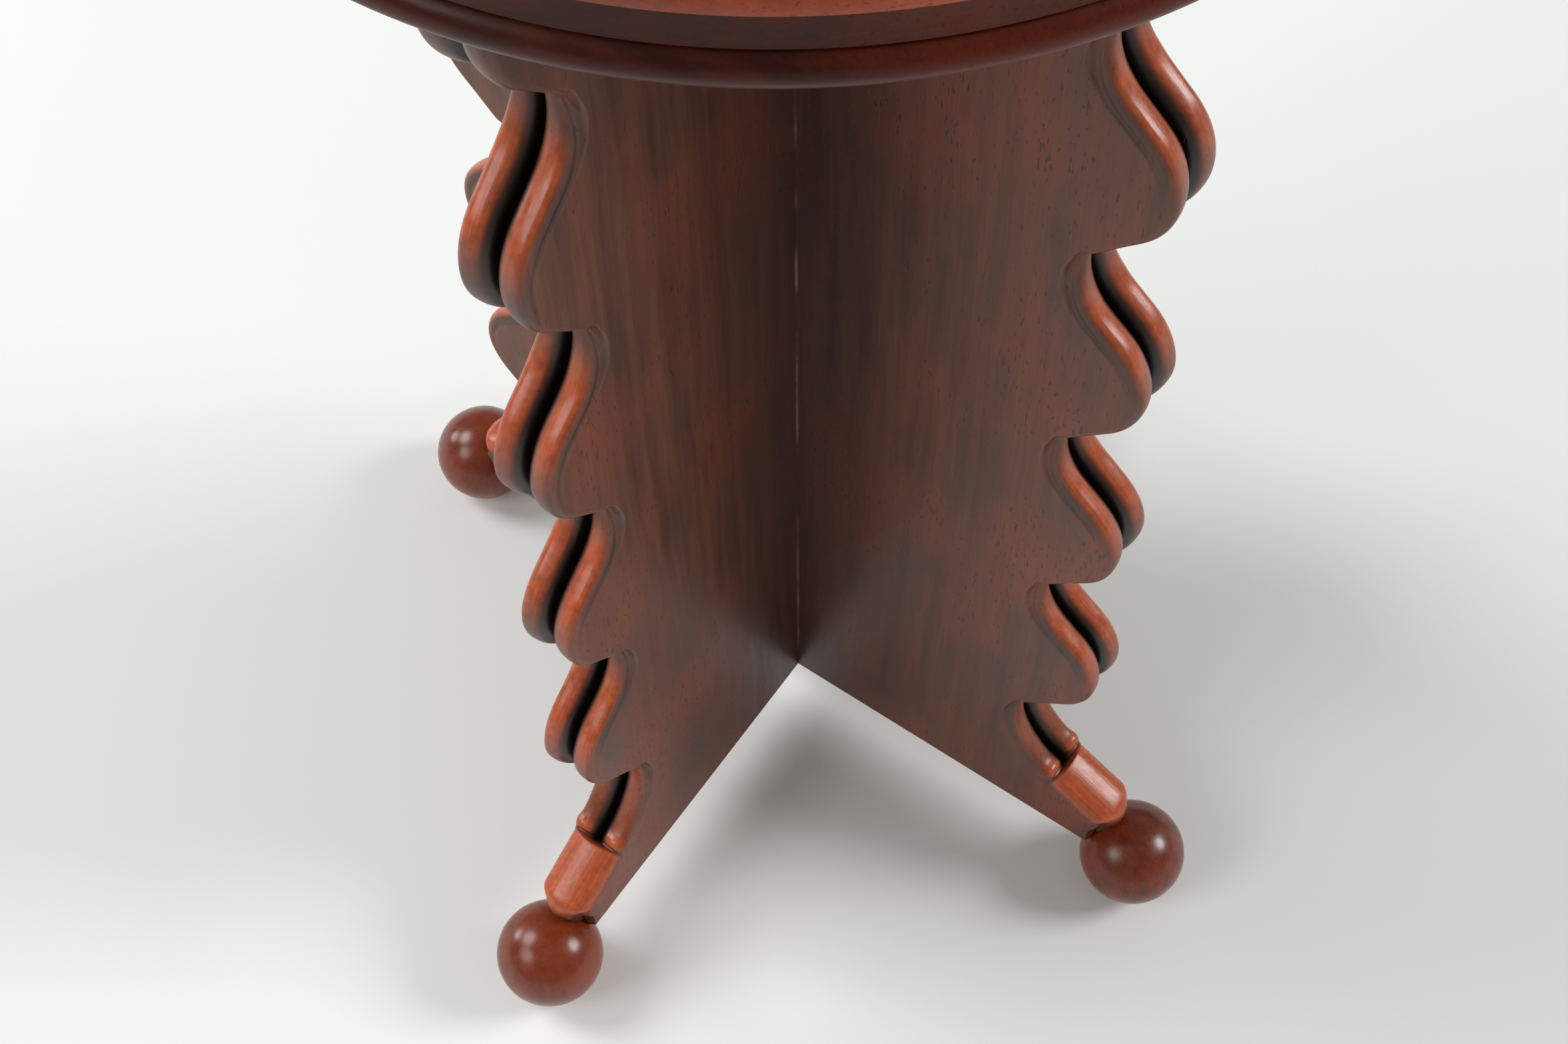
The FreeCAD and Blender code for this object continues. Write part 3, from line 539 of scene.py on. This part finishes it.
    pad = smooth_step(foot, KNOB_PLACE - 0.3, KNOB_PLACE + 1.6)[:, None]
    pad_finish = KNOB_PLACE + PAD_RUN + 9
    narrow = smooth_step(foot, pad_finish - 11, pad_finish)[:, None]
    pad_width = PAD_HALF - PAD_NARROWING * narrow ** 2
    pad_height = PAD_HEIGHT - PAD_LOWERING * narrow
    bend = np.linspace(0, np.pi / 2, depth.shape[1] - SHOULDER_POINTS)
    pad_side = pad_width * np.sin(bend) ** PAD_POWER
    pad_depth = pad_height * (1 - np.cos(bend) ** PAD_POWER) - PAD_PROUD
    drop = np.linspace(0, 1, SHOULDER_POINTS + 1)[1:]
    shoulder_side = pad_width + (HALF_BOARD - pad_width) * drop ** 0.6
    shoulder_depth = pad_depth[:, -1:] + SHOULDER_DROP * drop
    depth = depth + pad * (np.concatenate([pad_depth, shoulder_depth], axis=1) - depth)
    side = side + pad * (np.concatenate([pad_side, shoulder_side], axis=1) - side)

    out = edge[:, :1] + depth * inward[:, :1]
    up = edge[:, 1:] + depth * inward[:, 1:]
    # Each row of the face rises a little towards the post and never crosses the row above.
    lift = FACE_LIFT * smooth_step(place, place[0], place[0] + 130)
    lift = lift * (1 - smooth_step(foot, 10, foot.max()))
    post_height = np.minimum.accumulate(up[:, -1] + lift * (out[:, -1] - HALF_BOARD))
    post_height = post_height + smooth_step(foot, 0, foot.max()) * (BOARD_FOOT - post_height[-1])
    across = np.concatenate([[0.004, 0.015, 0.05], np.linspace(0.15, 1, 8)])
    face_out = out[:, -1:] + across * (HALF_BOARD - out[:, -1:])
    face_up = up[:, -1:] + across * (post_height[:, None] - up[:, -1:])
    face_side = np.full(face_out.shape, HALF_BOARD)
    half = np.stack([
        np.concatenate([out, face_out], axis=1),
        np.concatenate([side, face_side], axis=1),
        np.concatenate([up, face_up], axis=1),
    ], axis=2)

    # Wear and painted light: the crests are rubbed orange, but only on the upper flank of each scroll where
    # light falls, and more on the knobs as a painted highlight.
    wear_and_painted_light = smooth_step(share, 0.06, 0.24) * (1 - smooth_step(share, 0.38, 0.62))
    wear_and_painted_light = np.where(number == SCROLLS, 0.35 + 0.65 * knob, wear_and_painted_light)[:, None]
    rub_and_painted_light = np.concatenate([
        np.zeros(groove_depth.shape), wear_and_painted_light * smooth_step(np.cos(turn), 0.2, 0.97),
        np.zeros((count, len(t) + len(across))),
    ], axis=1)
    # Painted shade: the hollow beside each roll and the groove side of each roll are darkened where shade
    # falls; the groove rows are dark stain and painted shade together.
    shaded = smooth_step(share, 0.1, 0.26) * (1 - smooth_step(share, 0.35, 0.6))
    painted_hollow_shade = HOLLOW_SHADE * hollow * np.where(number == SCROLLS, 0.6, shaded)[:, None]
    stain_and_shade = np.concatenate([
        np.ones(groove_depth.shape),
        smooth_step(-np.sin(turn), 0.42, 0.88) + painted_hollow_shade * smooth_step(turn, 0.45, turn_end),
        painted_hollow_shade * (1 - smooth_step(t, 0.2, 1.0)), np.zeros((count, len(across))),
    ], axis=1)
    # The pad's crown is rubbed orange, which is wear and also painted light on its upward face.
    pad_rub = np.concatenate([
        np.tile(smooth_step(np.cos(bend), 0.02, 0.4), (count, 1)),
        np.zeros((count, len(drop) + len(across))),
    ], axis=1)
    rub_and_painted_light = rub_and_painted_light + pad * (pad_rub - rub_and_painted_light)
    stain_and_shade = stain_and_shade * (1 - pad)
    # Painted shade in the crease between the knobs and the pad, and on the toe above the ball.
    strip = np.concatenate([np.ones(depth.shape[1]), np.interp(across, [0, 0.06], [1, 0])])
    stain_and_shade = stain_and_shade + CREASE_SHADE * crease[:, None] * strip * (1 - stain_and_shade)
    # Painted shade: the toe above the ball is less orange.
    toe = smooth_step(foot, pad_finish - 3, pad_finish + 2)[:, None]
    rub_and_painted_light = rub_and_painted_light * (1 - 0.8 * toe)
    stain_and_shade = stain_and_shade + CREASE_SHADE * toe * strip * (1 - stain_and_shade)
    steps = np.linalg.norm(np.diff(half, axis=1), axis=2)
    crossing = np.concatenate([np.zeros((count, 1)), np.cumsum(steps, axis=1)], axis=1)
    along = np.tile(place[:, None], (1, half.shape[1]))
    return half, rub_and_painted_light, stain_and_shade, along, crossing


def ring_faces(rows, columns):
    """Quads of a grid whose columns close on themselves, row by row."""
    row = np.arange(rows - 1)[:, None] * columns
    column = np.arange(columns)[None, :]
    following = (column + 1) % columns
    return np.stack([
        row + column, row + following, row + columns + following, row + columns + column,
    ], axis=2).reshape(-1, 4)


def new_piece(name, points, faces, material):
    """Puts points in millimetres and faces into a new object at the origin.

    It is shaded smooth, apart from the edges that turn by more than 35 degrees.
    """
    mesh = bpy.data.meshes.new(name)
    mesh.from_pydata((points * MM).tolist(), [], [list(face) for face in faces])
    mesh.polygons.foreach_set("use_smooth", np.ones(len(mesh.polygons), dtype=bool))
    mesh.set_sharp_from_angle(angle=np.radians(35))
    mesh.materials.append(material)
    mesh.validate()
    mesh.update()
    piece = bpy.data.objects.new(name, mesh)
    bpy.context.scene.collection.objects.link(piece)
    return piece


def mirrored(values, signs=1):
    """A half's rows with their mirror image before them, times the signs, and the middle line once."""
    return np.concatenate([values[:, :0:-1] * signs, values], axis=1)


half, rub_and_painted_light, stain_and_shade, along, crossing = wing_surface()
whole = mirrored(half, (1, -1, 1))
rows, columns = whole.shape[:2]
middle = half.shape[1] - 1
wing_faces = ring_faces(rows, columns)[:, ::-1].tolist()
pairs = np.arange(middle)
for row, turn_round in ((0, False), (rows - 1, True)):
    near = row * columns + middle + pairs
    far = row * columns + middle - pairs
    cap = np.stack([near, near + 1, far - 1, far], axis=1)
    cap_faces = [list(dict.fromkeys(face)) for face in cap.tolist()]
    wing_faces += [face[::-1] for face in cap_faces] if turn_round else cap_faces

carved_mahogany = stained_mahogany(
    "stained_carved_mahogany", "#4a2312", "#6e3a22", "#83371a", 0.4, carved=True,
)
for side, (out_x, out_y) in sides.items():
    turned = np.stack([
        whole[..., 0] * out_x - whole[..., 1] * out_y,
        whole[..., 0] * out_y + whole[..., 1] * out_x,
        whole[..., 2],
    ], axis=2).reshape(-1, 3)
    wing = new_piece(side + "_carved_wing", turned, wing_faces, carved_mahogany)
    # The rubbed share is wear and painted light; the groove share is dark stain and painted shade.
    for label, values in (("rubbed", rub_and_painted_light), ("groove", stain_and_shade)):
        shares = mirrored(values).reshape(-1).astype(np.float32)
        wing.data.attributes.new(label, "FLOAT", "POINT").data.foreach_set("value", shares)
    measure = np.stack([mirrored(along) * MM, mirrored(crossing, -1) * MM], axis=2).reshape(-1, 2)
    corner_points = np.empty(len(wing.data.loops), dtype=np.int32)
    wing.data.loops.foreach_get("vertex_index", corner_points)
    layer = wing.data.uv_layers.new(name="along_roll")
    layer.data.foreach_set("uv", measure[corner_points].astype(np.float32).reshape(-1))
    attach(wing, "root")
    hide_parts(side + "_wing")


# Foot dowels: short pegs of the same pale wood that hold each ball to its toe, glued into both. They
# are out of sight and left unstained.
for side in sides:
    dress(side + "_foot_dowel", bare_beech)


# Ball feet: mahogany balls turned on a lathe, with a small flat to stand on. They are stained and
# varnished a brighter orange-red than the boards.
BALL_RADIUS = 20.0
BALL_FLAT = 5.0
FOOT_CIRCLE = 160.0
BALL_ROWS = 60
BALL_STEPS = 96


def turned_surface(profile, steps):
    """Surface of a profile of radius and height turned about the upright axis, closed at both ends."""
    turn = np.arange(steps) * 2 * np.pi / steps
    points = np.stack([
        profile[:, :1] * np.cos(turn),
        profile[:, :1] * np.sin(turn),
        np.repeat(profile[:, 1:], steps, axis=1),
    ], axis=2).reshape(-1, 3)
    faces = ring_faces(len(profile), steps).tolist()
    first = list(range(steps))[::-1]
    last = list(range((len(profile) - 1) * steps, len(profile) * steps))
    return points, faces + [first, last]


turned_mahogany = stained_mahogany(
    "stained_turned_mahogany", "#5c220e", "#7c3218", "#8e391b", 0.27, pore_share=0.12,
)
ball_height = np.sqrt(BALL_RADIUS ** 2 - BALL_FLAT ** 2)
rise = np.linspace(-np.arccos(BALL_FLAT / BALL_RADIUS), np.pi / 2 - 0.01, BALL_ROWS)
ball_profile = np.stack([BALL_RADIUS * np.cos(rise), ball_height + BALL_RADIUS * np.sin(rise)], axis=1)
ball_points, ball_faces = turned_surface(ball_profile, BALL_STEPS)
for side, (out_x, out_y) in sides.items():
    offset = np.array([out_x, out_y, 0]) * FOOT_CIRCLE
    ball = new_piece(side + "_turned_ball", ball_points + offset, ball_faces, turned_mahogany)
    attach(ball, "root")
    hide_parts(side + "_ball_foot")


# Bearer disc: a thin mahogany disc screwed to the tops of the wings. Its half-round edge shows under
# the top as a dark red bead.
BEARER_RADIUS = 150.5
BEARER_THICKNESS = 10.0
DISC_STEPS = 256
DISC_RINGS = 40
DISC_MIDDLE = 0.5


def level_line(first, last, height, count=DISC_RINGS + 1):
    """Points of a profile from one radius to another at one height, evenly spaced."""
    return np.stack([np.linspace(first, last, count), np.full(count, height)], axis=1)


level_grain = (0.0, np.pi / 2, 0.0)
bead_mahogany = stained_mahogany(
    "stained_bead_mahogany", "#371007", "#4f190b", "#5f1e0d", 0.34, pore_share=0.25,
    grain_turn=level_grain, shine=0.2,
)
bead_radius = BEARER_THICKNESS / 2
bead_turn = np.linspace(-np.pi / 2, np.pi / 2, 28)
bead = np.stack([
    BEARER_RADIUS - bead_radius + bead_radius * np.cos(bead_turn),
    BOARD_TOP + bead_radius + bead_radius * np.sin(bead_turn),
], axis=1)
bearer_profile = np.concatenate([
    level_line(DISC_MIDDLE, bead[0, 0], BOARD_TOP)[:-1],
    bead,
    level_line(bead[-1, 0], DISC_MIDDLE, BOARD_TOP + BEARER_THICKNESS)[1:],
])
bearer_points, bearer_faces = turned_surface(bearer_profile, DISC_STEPS)
bearer = new_piece("beaded_bearer_disc", bearer_points, bearer_faces, bead_mahogany)
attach(bearer, "root")
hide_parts("bearer_disc")


# Bearer screws: eight countersunk steel wood screws, driven down through the bearer into the wings
# before the top goes on. Drawn steel is bright, with fine duller marks.
bright_steel = flecked_material(
    "bright_drawn_steel", (0.3, 0.3), 2.0, "#8b8c8e", "#b4b5b7", 0.35, metallic=1.0,
)
dress("bearer_screws", bright_steel)


# Top dowels: four pegs of pale wood that hold the top to the bearer, glued into both. They are out of
# sight and left unstained.
dress("top_dowels", bare_beech)


# Top panel: a round mahogany panel with its upper edge rounded over and its side left upright. It is
# doweled and glued to the bearer. The top and the rounding are rubbed orange and made brighter as
# painted light, and the upright side gets a darker copy of the finish as painted shade.
PANEL_RADIUS = 148.2
PANEL_THICKNESS = 18.0
PANEL_ROUND = 9.4
PANEL_ARRIS = 0.6
SIDE_RINGS = 6

# Painted light: the top's finish is brighter than the wings'.
lit_top_mahogany = stained_mahogany(
    "stained_lit_top_mahogany", "#822f10", "#a14018", "#b0481c", 0.34, pore_share=0.5, grain_turn=level_grain,
)
panel_base = BOARD_TOP + BEARER_THICKNESS
panel_turn = np.linspace(0, np.pi / 2, 24)
panel_edge = np.stack([
    PANEL_RADIUS - PANEL_ROUND + PANEL_ROUND * np.cos(panel_turn),
    panel_base + PANEL_THICKNESS - PANEL_ROUND + PANEL_ROUND * np.sin(panel_turn),
], axis=1)
side_heights = np.linspace(panel_base + PANEL_ARRIS, panel_edge[0, 1], SIDE_RINGS, endpoint=False)
panel_profile = np.concatenate([
    level_line(DISC_MIDDLE, PANEL_RADIUS - PANEL_ARRIS, panel_base, DISC_RINGS),
    np.stack([np.full(SIDE_RINGS, PANEL_RADIUS), side_heights], axis=1),
    panel_edge,
    level_line(panel_edge[-1, 0], DISC_MIDDLE, panel_base + PANEL_THICKNESS)[1:],
])
panel_points, panel_faces = turned_surface(panel_profile, DISC_STEPS)
panel = new_piece("rounded_top_panel", panel_points, panel_faces, lit_top_mahogany)
# Painted shade: a darker copy of the finish for the upright side.
painted_shade_side_mahogany = stained_mahogany(
    "shaded_side_mahogany", "#34140a", "#4b1e0e", "#5a240f", 0.5, pore_share=0.4,
    grain_turn=level_grain, shine=0.2,
)
panel.data.materials.append(painted_shade_side_mahogany)
panel_rows = np.arange(len(panel.data.polygons)) // DISC_STEPS
on_side = (panel_rows >= DISC_RINGS - 1) & (panel_rows < DISC_RINGS + SIDE_RINGS)
panel.data.polygons.foreach_set("material_index", on_side.astype(np.int32))
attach(panel, "root")
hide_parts("top_panel")


# Floor: a wide sheet of white paper that the table stands on. Paper is matt, and here faintly mottled
# in patches a quarter of a metre across.
floor_reach = 6.0
floor_mesh = bpy.data.meshes.new("white_floor")
floor_corners = np.array([(-1, -1, 0), (1, -1, 0), (1, 1, 0), (-1, 1, 0)]) * floor_reach
floor_mesh.from_pydata(floor_corners.tolist(), [], [(0, 1, 2, 3)])
floor = bpy.data.objects.new("white_floor", floor_mesh)
bpy.context.scene.collection.objects.link(floor)
floor_mesh.materials.append(
    flecked_material("matt_white_paper", (250, 250), 2.0, "#f6f7f7", "#f9fafa", 0.75),
)


# Studio: a white surround and round soft lamps: a strong one at the rear right, a strong one and a low
# weak one at the left, and a weak one at the front left.
surround = bpy.data.worlds.new("white_surround")
bpy.context.scene.world = surround
surround.use_nodes = True
background = surround.node_tree.nodes["Background"]
background.inputs["Color"].default_value = linear("#f6fcf2")
background.inputs["Strength"].default_value = 0.28
lamp_aim = (0, 0, 0.2)


def unit(vector):
    """The vector divided by its length."""
    return vector / np.linalg.norm(vector)


# Each lamp's name, place and width in metres, and power in watts.
lamps = (
    ("rear_right_softbox", (2.38, 1.8, 2.03), 1.35, 64.0),
    ("low_left_softbox", (-2.8, -0.6, 0.9), 0.8, 16.0),
    ("left_softbox", (-2.3, -0.75, 2.6), 1.5, 50.0),
    ("front_left_softbox", (-1.35, -2.52, 2.23), 1.6, 28.0),
)
for lamp_name, lamp_place, lamp_width, lamp_power in lamps:
    lamp_data = bpy.data.lights.new(lamp_name, "AREA")
    lamp_data.shape = "DISK"
    lamp_data.size = lamp_width
    lamp_data.energy = lamp_power
    lamp = bpy.data.objects.new(lamp_name, lamp_data)
    away = unit(np.array(lamp_place) - lamp_aim)
    level_axis = unit(np.cross((0, 1, 0), away))
    turned_axes = np.stack([level_axis, np.cross(away, level_axis), away], axis=1)
    lamp.matrix_world = Matrix.Translation(lamp_place) @ Matrix(turned_axes.tolist()).to_4x4()
    bpy.context.scene.collection.objects.link(lamp)


# Camera: looks steeply down at the pedestal from between the front and right wings, so the top is
# cut by the upper edge of the picture. Its place comes from the feet, the scrolls and the rim.
IMAGE_WIDTH = 2354.0
SENSOR = 36.0
FOCAL_PIXELS = 3304.08
SIDE_SHIFT_PIXELS = 9.68
ROLL = -0.0108
aim = np.array([0.0, 0.0, 0.11675])
distance = 0.8128
backwards = unit(np.array([0.2896, -0.4085, 0.8656]))
rightwards = unit(np.cross((0, 0, 1), backwards))
upwards = np.cross(backwards, rightwards)
rolled_right = unit(rightwards + ROLL * upwards)
rolled_up = np.cross(backwards, rolled_right)
camera_axes = np.stack([rolled_right, rolled_up, backwards], axis=1)
lens = bpy.data.cameras.new("photo_camera")
lens.sensor_width = SENSOR
lens.lens = FOCAL_PIXELS * SENSOR / IMAGE_WIDTH
lens.shift_x = -SIDE_SHIFT_PIXELS / IMAGE_WIDTH
lens.clip_start = 0.01
camera = bpy.data.objects.new("photo_camera", lens)
camera_place = Matrix.Translation((aim + distance * backwards).tolist())
camera.matrix_world = camera_place @ Matrix(camera_axes.tolist()).to_4x4()
bpy.context.scene.collection.objects.link(camera)
bpy.context.scene.camera = camera
bpy.context.scene.view_settings.view_transform = "Standard"
